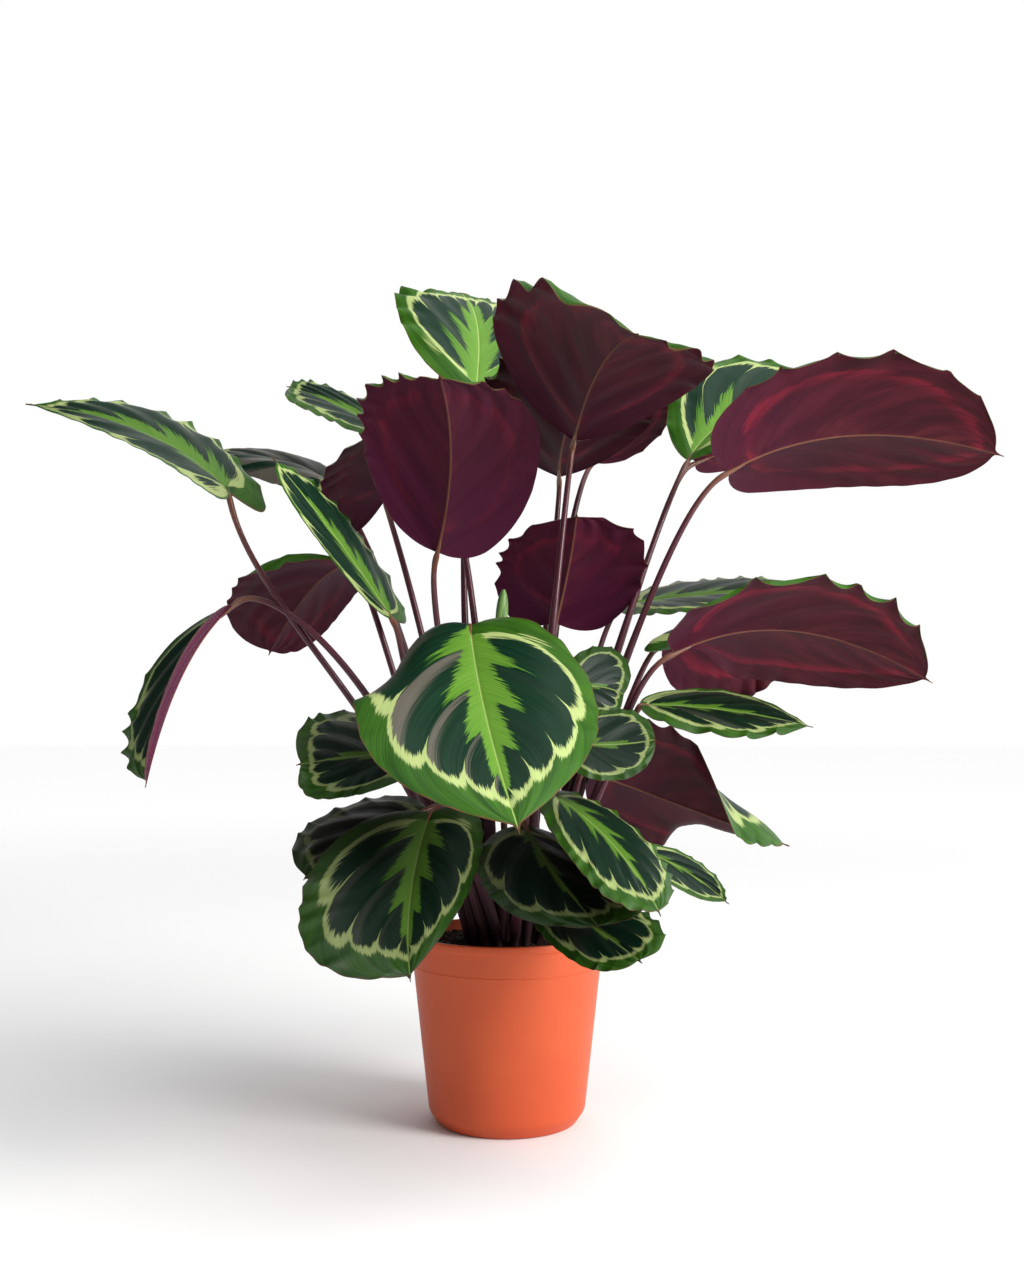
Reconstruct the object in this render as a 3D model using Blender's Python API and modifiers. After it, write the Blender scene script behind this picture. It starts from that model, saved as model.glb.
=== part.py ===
# Potted calathea: waved leaves on long stalks, rooted in soil in a plastic grower's pot.
# Metres, Z up. The origin is the centre of the pot's flat underside, and -Y is the side in the photo.
import math

import bmesh
import bpy
import numpy as np

MM = 0.001

# Pot, in millimetres: radius and height down the outer side, then the inside.
POT_STEPS = 40
POT_WALL = 1.6
POT_OUTER = [
    (83.9, 161.6), (85.0, 160.6), (85.2, 155.4), (83.9, 154.0),
    (82.1, 135.2), (82.5, 134.4), (81.8, 133.4),
    (68.0, 12.0), (66.6, 8.6), (60.0, 0.0),
]
POT_WALL_TOP = 3
POT_INSIDE_HEIGHTS = [12.0, 150.0]
POT_MOUTH = (82.4, 161.0)
POT_FLOOR = 2.4
DRAIN_HOLES = 6
DRAIN_RADIUS = 5.0
DRAIN_RING = 42.0
DRAIN_SIDES = 10
CUT_MARGIN = 2.0

# Soil plug, in millimetres.
SOIL_STEPS = 32
SOIL_TOP = 153.0
SOIL_EDGE_TOP = 150.5
SOIL_FLAT_RADIUS = 44.0
SOIL_SHOULDER = (70.0, 152.0)
SOIL_GAP = 0.4
HOLE_DEPTH = 26.0
HOLE_SIDES = 8
HOLE_RADIUS = 4.2

# Stalks, in millimetres.
STALK_FOOT_DEPTH = 24.0
STALK_COLLAR = 4.0
STALK_RADIUS_FOOT = 3.5
STALK_RADIUS_END = 2.2
STALK_SEGMENTS = 7
STALK_JOINT_GAP = 0.3
STALK_END_STRAIGHT = 5.0
STALK_OVERLAP = 7.0
STALK_DROP = 1.1
STALK_SIDE_ROOM = 0.11
EDGE_SAMPLES = 41

# Blades, in millimetres.
BLADE_THICK = 0.8
RIB_THICK = 2.2
RIB_HALF_WIDTH = 1.5
TIP_HALF_WIDTH = 1.8

# Blade shape, as shares of the blade's length or half width.
RIB_TIP_SHARE = 0.5
RIB_WIDEST_SHARE = 0.3
COLUMN_MIDDLE = 0.5
WIDEST_AT = 0.42
OUTLINE_PEAK = 0.44
OUTLINE_BASE = 0.47
BASE_ROUNDING = 2.5
TIP_ROUNDING = 2.1
TIP_FULLNESS = 0.92
WAVE_HEIGHT = 0.056
WAVE_ROUNDING = 0.8
WAVE_EDGE_POWER = 3
WAVE_FADE_AT_TIP = 6
WAVE_FADE_AT_BASE = 8
WAVE_AT_BASE = 0.3
EDGE_SCALLOP = 0.03
HALF_BULGE = 0.06
BASE_LOBE = 0.07
LOBE_WIDTH_POWER = 1.6
LOBE_LENGTH_POWER = 4
LARGE_WAVES = 7
SMALL_WAVES = 5
MIDRIB_STEPS = 101
TANGENT_STEP = 0.02

# Each leaf, in millimetres: blade base, a point half way up its midrib, its tip, the right and left
# edge where it is widest (seen from above the blade, tip away), the stalk's foot, the point that the
# stalk bends towards, and how far it runs straight into the blade.
LEAVES = {
    "far_left": (
        (-230, -45, 520), (-310, -30, 590), (-425, -15, 625), (-290, 20, 615), (-285, -90, 555),
        (-33, 0), (-75, -40, 340), 50,
    ),
    "left_back": (
        (-160, 75, 565), (-215, 110, 595), (-300, 145, 610), (-215, 155, 610), (-215, 50, 575),
        (-25, 21), (-105, 75, 480), 30,
    ),
    "left_narrow": (
        (-100, -20, 435), (-135, -95, 490), (-180, -170, 550), (-125, -40, 505), (-145, -115, 480),
        (-21, -6), (-95, -15, 375), 25,
    ),
    "left_hanging": (
        (-145, 45, 490), (-190, 105, 470), (-240, 165, 410), (-165, 160, 455), (-250, 55, 475),
        (-31, 11), (-100, 20, 380), 20,
    ),
    "left_arching": (
        (-235, -45, 445), (-270, -75, 385), (-297, -85, 292), (-320, -40, 360), (-270, -125, 370),
        (-31, -11), (-80, -100, 385), 40,
    ),
    "centre_left": (
        (-60, -45, 490), (-45, -125, 555), (-50, -210, 605), (-115, -155, 575), (25, -55, 555),
        (-16, -16), (-60, -20, 415), 35,
    ),
    "top_green": (
        (-30, 60, 650), (-30, 125, 735), (-50, 185, 785), (45, 155, 725), (-110, 125, 755),
        (-6, 10), (-60, 45, 455), 40,
    ),
    "top_front": (
        (60, 0, 595), (80, -110, 635), (115, -215, 635), (-10, -100, 680), (160, -135, 620),
        (11, 0), (45, -75, 485), 25,
    ),
    "top_behind": (
        (50, 105, 580), (55, 30, 615), (80, -50, 665), (-25, 55, 650), (135, 70, 625),
        (6, 21), (40, 60, 465), 35,
    ),
    "right_green": (
        (170, 70, 590), (225, 105, 645), (315, 140, 685), (240, 45, 610), (195, 140, 685),
        (21, 6), (110, 35, 455), 30,
    ),
    "right_behind": (
        (190, 165, 605), (260, 185, 630), (360, 205, 655), (235, 130, 650), (275, 215, 615),
        (16, 16), (125, 95, 460), 30,
    ),
    "right_upper": (
        (195, -15, 565), (310, 0, 600), (450, 20, 585), (285, -60, 660), (320, 70, 565),
        (21, -6), (115, -10, 445), 40,
    ),
    "right_lower": (
        (145, -30, 405), (260, 5, 425), (390, 45, 380), (255, -65, 470), (235, 65, 365),
        (33, 0), (100, -30, 345), 35,
    ),
    "right_curled": (
        (145, 25, 410), (215, 55, 440), (310, 85, 455), (190, -10, 455), (220, 100, 410),
        (31, 11), (100, 10, 335), 20,
    ),
    "right_far": (
        (120, 145, 460), (205, 145, 470), (320, 150, 475), (190, 95, 450), (205, 200, 490),
        (25, 21), (75, 80, 375), 20,
    ),
    "centre_right": (
        (45, 55, 435), (56, 24, 485), (62, -2, 530), (-10, 60, 490), (125, 25, 480),
        (6, 10), (35, 30, 365), 25,
    ),
    "front_main": (
        (-30, -95, 425), (-15, -180, 350), (10, -265, 270), (-105, -205, 340), (70, -120, 370),
        (-6, -10), (-30, -30, 415), 45,
    ),
    "front_left_upper": (
        (-65, -80, 320), (-110, -140, 320), (-155, -200, 315), (-135, -85, 355), (-120, -175, 290),
        (-25, -21), (-55, -40, 280), 25,
    ),
    "front_left_lower": (
        (-60, -125, 275), (-70, -200, 220), (-65, -270, 170), (-145, -245, 220), (-20, -135, 240),
        (-6, -32), (-40, -60, 280), 25,
    ),
    "right_folded": (
        (95, -20, 300), (168, 42, 290), (270, 110, 225), (162, -32, 328), (145, 80, 230),
        (31, -11), (65, -20, 235), 25,
    ),
    "right_slim": (
        (112, -70, 360), (190, -25, 355), (275, 20, 340), (170, -85, 335), (185, 15, 372),
        (16, -16), (85, -45, 285), 30,
    ),
    "front_right_upper": (
        (35, -110, 290), (80, -175, 255), (110, -240, 210), (50, -220, 245), (110, -110, 255),
        (16, -29), (32, -62, 290), 25,
    ),
    "left_top": (
        (-75, 55, 595), (-150, 80, 640), (-215, 110, 670), (-160, 115, 665), (-160, 35, 620),
        (-11, 0), (-20, 10, 455), 30,
    ),
    "left_shadow": (
        (-110, 20, 545), (-105, -45, 570), (-90, -110, 590), (-165, -5, 545), (-50, 5, 550),
        (-21, 6), (-70, 5, 435), 25,
    ),
    "top_hidden": (
        (85, 140, 600), (115, 180, 645), (150, 220, 705), (70, 140, 665), (160, 165, 640),
        (16, 29), (50, 100, 540), 20,
    ),
    "front_left_shadow": (
        (-65, -95, 275), (-115, -145, 255), (-150, -195, 230), (-140, -95, 275), (-90, -165, 200),
        (-16, -29), (-45, -50, 260), 20,
    ),
    "inner_right_upper": (
        (45, -75, 375), (78, -58, 375), (100, -45, 368), (80, -72, 352), (85, -40, 410),
        (6, -10), (20, -45, 315), 20,
    ),
    "inner_right_lower": (
        (45, -130, 330), (85, -120, 328), (120, -115, 332), (80, -138, 300), (86, -102, 356),
        (6, -21), (5, -50, 300), 20,
    ),
    "right_tip": (
        (110, -75, 240), (150, -45, 220), (190, -20, 190), (145, -70, 205), (165, -35, 230),
        (25, -21), (70, -60, 230), 20,
    ),
    "front_centre": (
        (15, -90, 262), (35, -148, 232), (70, -205, 195), (-20, -100, 215), (95, -145, 222),
        (-6, -21), (0, -55, 245), 20,
    ),
    "front_right_lower": (
        (25, -100, 210), (65, -150, 190), (100, -200, 170), (40, -180, 175), (105, -125, 200),
        (6, -32), (10, -70, 200), 15,
    ),
}

# Leaves whose stalk is out of sight: blade and stalk are one piece.
JOINED = [
    "front_left_shadow", "inner_right_upper", "inner_right_lower", "right_tip",
    "front_centre", "front_right_lower",
]
SMALL = JOINED + ["front_left_upper", "centre_right", "top_hidden", "left_shadow", "left_back"]
OWN_LOBES = {
    "left_narrow": 0.12, "left_back": 0.2, "left_shadow": 0.12, "right_slim": 0.03,
    "right_folded": 0.03,
}

# The rolled new leaf: height above the floor, sideways shift and radius, in millimetres.
SPEAR = [
    (129, 0, 3.4), (157, 0, 3.4), (230, -2, 3.0), (310, -4, 2.8), (385, -5, 2.8),
    (410, -5, 5.0), (430, -5, 6.2), (446, -4, 4.6), (458, -3, 1.6),
]

UPPER_COLOUR = (0.05, 0.16, 0.04)
UNDER_COLOUR = (0.11, 0.02, 0.035)
STALK_COLOUR = (0.16, 0.06, 0.045)
POT_COLOUR = (0.60, 0.14, 0.06)
SOIL_COLOUR = (0.030, 0.020, 0.014)
LEAF_ROUGHNESS = 0.4
POT_ROUGHNESS = 0.45
SOIL_ROUGHNESS = 0.95
# Leaves that show their red underside in the photo.
UNDERSIDE_SHOWS = [
    "left_hanging", "centre_left", "top_front", "top_behind", "right_behind", "right_upper",
    "right_lower", "right_curled", "centre_right", "right_folded", "left_shadow", "top_hidden",
]


def material(name, colour, roughness, metallic=0.0):
    made = bpy.data.materials.new(name)
    made.use_nodes = True
    shader = made.node_tree.nodes["Principled BSDF"]
    shader.inputs["Base Color"].default_value = (*colour, 1.0)
    shader.inputs["Roughness"].default_value = roughness
    shader.inputs["Metallic"].default_value = metallic
    return made


def add_object(name, data, collection):
    made = bpy.data.objects.new(name, data)
    collection.objects.link(made)
    return made


def unit(vector):
    return vector / np.linalg.norm(vector)


def outline(place):
    """Half width of a blade, as a share of its widest, at a place from base 0 to tip 1."""
    if place < OUTLINE_PEAK:
        below = (OUTLINE_PEAK - place) / OUTLINE_BASE
        return math.sqrt(1 - below ** BASE_ROUNDING)
    above = (place - OUTLINE_PEAK) / (1 - OUTLINE_PEAK)
    return max(1 - above ** TIP_ROUNDING, 0) ** TIP_FULLNESS


class Blade:
    """A leaf surface laid along its midrib, from a few measured points."""

    def __init__(self, name):
        base, middle, tip, right, left = (np.array(p, float) for p in LEAVES[name][:5])
        turn = 2 * middle - (base + tip) / 2
        steps = np.linspace(0, 1, MIDRIB_STEPS)[:, None]
        self.curve = (1 - steps) ** 2 * base + 2 * steps * (1 - steps) * turn + steps ** 2 * tip
        pieces = np.linalg.norm(np.diff(self.curve, axis=0), axis=1)
        self.arc = np.concatenate([[0], np.cumsum(pieces)])
        self.length = self.arc[-1]
        self.across = unit(right - left)
        self.waves = SMALL_WAVES if name in SMALL else LARGE_WAVES
        self.lobe = OWN_LOBES.get(name, BASE_LOBE)
        centre, along, side, up = self.frame(WIDEST_AT)
        self.reach = {}
        for sign, edge in ((1, right), (-1, left)):
            away = edge - centre
            self.reach[sign] = np.array([away @ along, away @ side, away @ up])

    def at(self, distance):
        distance = min(max(distance, 0), self.length)
        return np.array([np.interp(distance, self.arc, self.curve[:, k]) for k in range(3)])

    def frame(self, place):
        """Point on the midrib, then the directions to the tip, to the right and up from the blade."""
        distance = place * self.length
        step = TANGENT_STEP * self.length
        along = unit(self.at(distance + step) - self.at(distance - step))
        side = unit(self.across - (self.across @ along) * along)
        return self.at(distance), along, side, np.cross(side, along)

    def point(self, place, across):
        """A point of the upper face: across is -1 at the left edge and 1 at the right one."""
        centre, along, side, up = self.frame(place)
        sign = 1 if across >= 0 else -1
        share = abs(across)
        reach = self.reach[sign]
        size = np.linalg.norm(reach)
        width = max(outline(place), TIP_HALF_WIDTH / size)
        turn = math.pi * self.waves * place
        swing = abs(math.sin(turn) if sign > 0 else math.cos(turn))
        wave = (1 - 2 * swing ** WAVE_ROUNDING) * share ** WAVE_EDGE_POWER
        wave *= min(1, (1 - place) * WAVE_FADE_AT_TIP)
        out = share * width * (1 + EDGE_SCALLOP * wave)
        point = centre + out * (reach[0] * along + reach[1] * side + reach[2] * up)
        lobe = share ** LOBE_WIDTH_POWER * (1 - place) ** LOBE_LENGTH_POWER
        point = point - self.lobe * self.length * lobe * along
        point = point + 4 * HALF_BULGE * out * (1 - share) * size * up
        start = min(1, WAVE_AT_BASE + place * WAVE_FADE_AT_BASE)
        return point + WAVE_HEIGHT * size * wave * start * up

    def columns(self, place):
        """Places across the blade: both edges, half way out, and the two sides of the midrib."""
        found = []
        for sign in (-1, 1):
            size = np.linalg.norm(self.reach[sign])
            half = max(outline(place) * size, TIP_HALF_WIDTH)
            rib_half = RIB_HALF_WIDTH * (1 - (1 - RIB_TIP_SHARE) * place)
            rib = min(rib_half / half, RIB_WIDEST_SHARE)
            found.append([sign * 1.0, sign * COLUMN_MIDDLE, sign * rib])
        return found[0] + found[1][::-1]


def blade_mesh(name, blade):
    """The upper face as triangles, and the place along the blade of each midrib vertex."""
    rows = 2 * blade.waves
    shape = bmesh.new()
    grid = []
    for row in range(rows + 1):
        place = row / rows
        grid.append([shape.verts.new(blade.point(place, c) * MM) for c in blade.columns(place)])
    for row in range(rows):
        for column in range(len(grid[0]) - 1):
            near = grid[row][column]
            beside = grid[row][column + 1]
            far = grid[row + 1][column]
            across = grid[row + 1][column + 1]
            if (row + column) % 2:
                shape.faces.new((near, beside, across))
                shape.faces.new((near, across, far))
            else:
                shape.faces.new((near, beside, far))
                shape.faces.new((beside, across, far))
    mesh = bpy.data.meshes.new(name)
    shape.verts.index_update()
    rib = {v.index: row / rows for row, line in enumerate(grid) for v in line[2:4]}
    shape.to_mesh(mesh)
    shape.free()
    mesh.shade_smooth()
    return mesh, rib


def add_blade(node, blade, collection, colour):
    """A thin blade, thicker along its midrib."""
    mesh, rib = blade_mesh(node, blade)
    made = add_object(node, mesh, collection)
    group = made.vertex_groups.new(name="thickness")
    group.add(range(len(mesh.vertices)), BLADE_THICK / RIB_THICK, "REPLACE")
    for index, place in rib.items():
        group.add([index], 1 - (1 - RIB_TIP_SHARE) * place, "REPLACE")
    shell = made.modifiers.new("Thickness", "SOLIDIFY")
    shell.thickness = RIB_THICK * MM
    shell.offset = -1
    shell.vertex_group = group.name
    mesh.materials.append(material(node + " finish", colour, LEAF_ROUGHNESS))
    return made


def overhang(leaf, blade):
    """How far the blade's root reaches back past its midrib in line with the stalk, in millimetres."""
    centre, along, _, up = blade.frame(0)
    mesh = leaf.evaluated_get(bpy.context.evaluated_depsgraph_get()).data
    offsets = [np.array(vertex.co) / MM - centre for vertex in mesh.vertices]
    farthest = 0.0
    for edge in mesh.edges:
        first, second = (offsets[k] for k in edge.vertices)
        if min(np.linalg.norm(first), np.linalg.norm(second)) > 3 * STALK_RADIUS_END:
            continue
        for share in np.linspace(0, 1, EDGE_SAMPLES):
            offset = first + share * (second - first)
            back = -(offset @ along)
            from_axis = np.linalg.norm(offset + STALK_DROP * up + back * along)
            if from_axis < STALK_RADIUS_END + STALK_SIDE_ROOM:
                farthest = max(farthest, back)
    return farthest


def stalk_points(name, blade, end_shift):
    """Centre line from the bottom of its hole to the blade, with a radius at each point."""
    foot, bend, straight = LEAVES[name][5:]
    centre, along, _, up = blade.frame(0)
    last = centre + end_shift * along - STALK_DROP * up
    end = last - STALK_END_STRAIGHT * along
    collar = np.array([*foot, SOIL_TOP + STALK_COLLAR], float)
    toward = np.array(bend, float)
    before = end - straight * along
    points = [(np.array([*foot, SOIL_TOP - STALK_FOOT_DEPTH], float), STALK_RADIUS_FOOT)]
    for k in range(STALK_SEGMENTS):
        u = k / (STALK_SEGMENTS - 1)
        point = (
            (1 - u) ** 3 * collar + 3 * u * (1 - u) ** 2 * toward
            + 3 * u ** 2 * (1 - u) * before + u ** 3 * end
        )
        points.append((point, STALK_RADIUS_FOOT + (STALK_RADIUS_END - STALK_RADIUS_FOOT) * u))
    points.append((last, STALK_RADIUS_END))
    return points


def add_tube(node, points, collection, colour):
    """A tapering round tube through the points, closed at both ends."""
    curve = bpy.data.curves.new(node, "CURVE")
    curve.dimensions = "3D"
    curve.bevel_depth = MM
    curve.bevel_resolution = 1
    curve.use_fill_caps = True
    line = curve.splines.new("POLY")
    line.points.add(len(points) - 1)
    for target, (point, radius) in zip(line.points, points):
        target.co = (*(point * MM), 1)
        target.radius = radius
    curve.materials.append(material(node + " finish", colour, LEAF_ROUGHNESS))
    return add_object(node, curve, collection)


def as_mesh(tube, name, collection):
    """The tube as a welded mesh, so that it can be joined to a blade."""
    graph = bpy.context.evaluated_depsgraph_get()
    mesh = bpy.data.meshes.new_from_object(tube.evaluated_get(graph))
    shape = bmesh.new()
    shape.from_mesh(mesh)
    bmesh.ops.remove_doubles(shape, verts=shape.verts, dist=1e-6)
    shape.to_mesh(mesh)
    shape.free()
    data = tube.data
    bpy.data.objects.remove(tube)
    bpy.data.curves.remove(data)
    made = add_object(name, mesh, collection)
    made.display_type = "WIRE"
    made.hide_render = True
    return made


def join(target, other, operation):
    change = target.modifiers.new(operation.title(), "BOOLEAN")
    change.operation = operation
    change.solver = "EXACT"
    change.object = other
    return change


def turned(name, profile, steps, collection, finish):
    """A round solid from its profile, which starts and ends on the axis."""
    mesh = bpy.data.meshes.new(name)
    points = [(radius * MM, 0, height * MM) for radius, height in profile]
    mesh.from_pydata(points, [(k, k + 1) for k in range(len(points) - 1)], [])
    made = add_object(name, mesh, collection)
    screw = made.modifiers.new("Turn", "SCREW")
    screw.steps = steps
    screw.render_steps = steps
    screw.use_merge_vertices = True
    screw.merge_threshold = 0.0001
    mesh.materials.append(finish)
    return made


def drill(name, centres, radius, bottom, top, sides, collection):
    """Upright round cutters at the centres."""
    shape = bmesh.new()
    for x, y in centres:
        made = bmesh.ops.create_cone(
            shape, cap_ends=True, segments=sides,
            radius1=radius * MM, radius2=radius * MM, depth=(top - bottom) * MM,
        )
        bmesh.ops.translate(
            shape, verts=made["verts"], vec=(x * MM, y * MM, (top + bottom) / 2 * MM)
        )
    mesh = bpy.data.meshes.new(name)
    shape.to_mesh(mesh)
    shape.free()
    made = add_object(name, mesh, collection)
    made.display_type = "WIRE"
    made.hide_render = True
    return made


def inner_radius(height):
    """Radius of the pot's inside at a height."""
    outer = sorted((z, r) for r, z in POT_OUTER[POT_WALL_TOP:])
    return float(np.interp(height, [z for z, _ in outer], [r for _, r in outer])) - POT_WALL


def add_pot(collection, cutters):
    inside = [(0, POT_FLOOR)]
    inside += [(inner_radius(z), z) for z in [POT_FLOOR] + POT_INSIDE_HEIGHTS]
    profile = inside + [POT_MOUTH] + POT_OUTER + [(0, 0)]
    plastic = material("pot plastic", POT_COLOUR, POT_ROUGHNESS)
    pot = turned("pot", profile, POT_STEPS, collection, plastic)
    ring = [
        (DRAIN_RING * math.cos(turn), DRAIN_RING * math.sin(turn))
        for turn in (2 * math.pi * k / DRAIN_HOLES for k in range(DRAIN_HOLES))
    ]
    holes = drill(
        "pot drain cutter", ring, DRAIN_RADIUS, -CUT_MARGIN, POT_FLOOR + CUT_MARGIN,
        DRAIN_SIDES, cutters,
    )
    join(pot, holes, "DIFFERENCE")


def add_soil(collection, cutters, feet):
    bottom = POT_FLOOR + SOIL_GAP
    profile = [(0, SOIL_TOP), (SOIL_FLAT_RADIUS, SOIL_TOP), SOIL_SHOULDER]
    for height in (SOIL_EDGE_TOP, POT_INSIDE_HEIGHTS[0], bottom):
        profile.append((inner_radius(height) - SOIL_GAP, height))
    profile.append((0, bottom))
    peat = material("soil peat", SOIL_COLOUR, SOIL_ROUGHNESS)
    soil = turned("soil", profile, SOIL_STEPS, collection, peat)
    holes = drill(
        "soil stem cutter", feet, HOLE_RADIUS, SOIL_TOP - HOLE_DEPTH, SOIL_TOP + CUT_MARGIN,
        HOLE_SIDES, cutters,
    )
    join(soil, holes, "DIFFERENCE")


def add_leaf(name, collection, cutters):
    blade = Blade(name)
    colour = UNDER_COLOUR if name in UNDERSIDE_SHOWS else UPPER_COLOUR
    if name in JOINED:
        leaf = add_blade("leaf_" + name, blade, collection, colour)
        points = stalk_points(name, blade, STALK_OVERLAP)
        tube = add_tube("stalk", points, collection, STALK_COLOUR)
        join(leaf, as_mesh(tube, "stalk cutter " + name, cutters), "UNION")
        return
    leaf = add_blade("blade_" + name, blade, collection, colour)
    points = stalk_points(name, blade, -overhang(leaf, blade) - STALK_JOINT_GAP)
    add_tube("stalk_" + name, points, collection, STALK_COLOUR)


def build():
    for old in list(bpy.data.objects):
        bpy.data.objects.remove(old)
    plant = bpy.data.collections.new("potted_calathea")
    cutters = bpy.data.collections.new("cutters")
    bpy.context.scene.collection.children.link(plant)
    bpy.context.scene.collection.children.link(cutters)
    add_pot(plant, cutters)
    for name in LEAVES:
        add_leaf(name, plant, cutters)
    spear = [(np.array([x, 0, z], float), radius) for z, x, radius in SPEAR]
    add_tube("leaf_new_rolled", spear, plant, UPPER_COLOUR)
    feet = [row[5] for row in LEAVES.values()] + [(0, 0)]
    add_soil(plant, cutters, feet)


build()
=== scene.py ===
import math

import bmesh
import bpy
import numpy as np
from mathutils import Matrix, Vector, noise


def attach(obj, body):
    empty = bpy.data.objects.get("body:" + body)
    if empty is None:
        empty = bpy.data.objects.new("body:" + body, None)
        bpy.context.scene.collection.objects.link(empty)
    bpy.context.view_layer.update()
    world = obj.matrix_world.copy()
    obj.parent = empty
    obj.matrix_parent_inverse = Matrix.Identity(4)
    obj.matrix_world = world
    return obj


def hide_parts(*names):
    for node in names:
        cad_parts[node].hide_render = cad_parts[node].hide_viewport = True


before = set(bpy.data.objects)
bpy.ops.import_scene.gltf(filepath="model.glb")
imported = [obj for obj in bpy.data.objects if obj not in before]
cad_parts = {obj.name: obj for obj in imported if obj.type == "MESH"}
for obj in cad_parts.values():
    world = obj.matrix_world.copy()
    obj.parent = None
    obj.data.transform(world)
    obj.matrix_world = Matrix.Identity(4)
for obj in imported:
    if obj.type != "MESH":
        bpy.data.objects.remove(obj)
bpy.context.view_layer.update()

mm = 0.001
print("frame loaded:", len(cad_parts), "nodes")


def maths(operation, swapped=False):
    # An operator of Wire, which adds a Math node; swapped where the Wire is the second value.
    def apply(wire, *others):
        values = (*others, wire) if swapped else (wire, *others)
        return wire.paint.node("ShaderNodeMath", {"operation": operation}, dict(enumerate(values)))
    return apply


# Shader maths: a node's socket, on which arithmetic adds Math nodes.
class Wire:
    def __init__(self, paint, socket):
        self.paint = paint
        self.socket = socket

    __add__ = maths("ADD")
    __radd__ = maths("ADD", True)
    __sub__ = maths("SUBTRACT")
    __rsub__ = maths("SUBTRACT", True)
    __mul__ = maths("MULTIPLY")
    __rmul__ = maths("MULTIPLY", True)
    __pow__ = maths("POWER")
    __abs__ = maths("ABSOLUTE")
    above = maths("GREATER_THAN")
    floor = maths("FLOOR")
    fraction = maths("FRACT")

    def step(self, low, high):      # 0 below low, 1 above high, smooth between
        return self.paint.node(
            "ShaderNodeMapRange", {"interpolation_type": "SMOOTHSTEP"},
            {"Value": self, "From Min": low, "From Max": high},
        )


# One material, or the world, with its shader and one method that makes any node.
class Paint:
    def __init__(self, name, kept=bpy.data.materials, shader="Principled BSDF"):
        self.material = kept.new(name)
        self.material.use_nodes = True
        self.tree = self.material.node_tree
        self.shader = self.tree.nodes[shader]

    def feed(self, socket, value):
        if isinstance(value, Wire):
            self.tree.links.new(value.socket, socket)
        elif isinstance(value, tuple) and socket.type == "RGBA":
            socket.default_value = (*value, 1)
        else:
            socket.default_value = value

    def node(self, kind, settings=None, sockets=None, out=0):
        made = self.tree.nodes.new(kind)
        for key, value in (settings or {}).items():
            setattr(made, key, value)
        for key, value in (sockets or {}).items():
            self.feed(made.inputs[key], value)
        wires = [Wire(self, socket) for socket in made.outputs]
        return wires if out == "all" else wires[out]

    def finish(self, **sockets):
        for key, value in sockets.items():
            self.feed(self.shader.inputs[key.replace("_", " ")], value)
        return self.material

    def mix(self, amount, first, second, **settings):
        settings["data_type"] = "RGBA"
        return self.node("ShaderNodeMix", settings, {0: amount, 6: first, 7: second}, 2)

    def grey(self, value):
        return self.node("ShaderNodeCombineColor", {}, {0: value, 1: value, 2: value})

    def parts(self, vector):
        return self.node("ShaderNodeSeparateXYZ", {}, {0: vector}, "all")

    def attribute(self, name):
        return self.parts(self.node("ShaderNodeAttribute", {"attribute_name": name}, {}, 1))

    def place(self):        # in the object's own metres
        return self.node("ShaderNodeTexCoord", {}, {}, 3)

    def cloud(self, at, scale, detail, roughness):
        sockets = {"Vector": at, "Scale": scale, "Detail": detail, "Roughness": roughness}
        return self.node("ShaderNodeTexNoise", {}, sockets)

    def noise(self, x, y, z, detail, roughness):
        at = self.node("ShaderNodeCombineXYZ", {}, {0: x, 1: y, 2: z})
        return self.cloud(at, 1, detail, roughness)

    def grain(self, scale, detail, roughness=0.6):
        return self.cloud(self.place(), scale, detail, roughness)

    def bump(self, height, strength, distance):
        sockets = {"Height": height, "Strength": strength, "Distance": distance}
        return self.node("ShaderNodeBump", {}, sockets)


def addObject(name, data):
    made = bpy.data.objects.new(name, data)
    bpy.context.scene.collection.objects.link(made)
    return made


# The camera, as the photo's: a little under the plant's middle and tipped up. Its place, lens and
# sensor are in millimetres, and it sees as far as clip, in metres.
cameraLook = {"place": (4.4, -1239, 357), "tip": 2.78, "lens": 39.375, "sensor": 36, "clip": 60}


def addCamera(look):
    data = bpy.data.cameras.new("camera")
    data.lens = look["lens"]
    data.sensor_fit = "VERTICAL"
    data.sensor_height = look["sensor"]
    data.clip_end = look["clip"]
    camera = addObject("camera", data)
    camera.location = [c * mm for c in look["place"]]
    camera.rotation_euler = (math.radians(90 + look["tip"]), 0, 0)
    bpy.context.scene.camera = camera


# Soft boxes round the plant, with the key from the front right, in a white room that is
# brightest behind the plant and to its right. In metres.
lightLook = {
    "key": ((2.1, -1.3, 1.3), 1.1, 74, (1, 0.99, 0.97)),
    "fill": ((-1.6, -2.2, 0.9), 1.8, 3, (0.97, 0.99, 1)),
    "overhead": ((0.35, -0.4, 1), 1.35, 60),    # direction it comes from, strength, spread
    "aim": (0, 0, 0.42),
    "roomTowards": (1.05, 1, 0),        # the brighter side of the room
    "roomBlend": (-0.2, 0.5),
    "roomFront": (0.13, 0.13, 0.13),
    "roomBack": (0.97, 0.97, 0.97),
    "backdrop": (1, 1, 1),              # what stands behind the plant, from any side
    "floor": (0.93, 0.93, 0.93),
    "floorDim": 0.985,                  # its darker patches, as a share of that
    "floorGlow": (1.2, 4, 0.16),         # where the floor starts and ends to glow brighter, a painted light, and how much
    "floorHalf": 12,
    "floorDrop": 0.0005,
}


def addLamp(name, kind, turn, **settings):
    data = bpy.data.lights.new(name, kind)
    for key, value in settings.items():
        setattr(data, key, value)
    lamp = addObject(name, data)
    lamp.rotation_euler = turn.to_euler()
    return lamp


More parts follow.
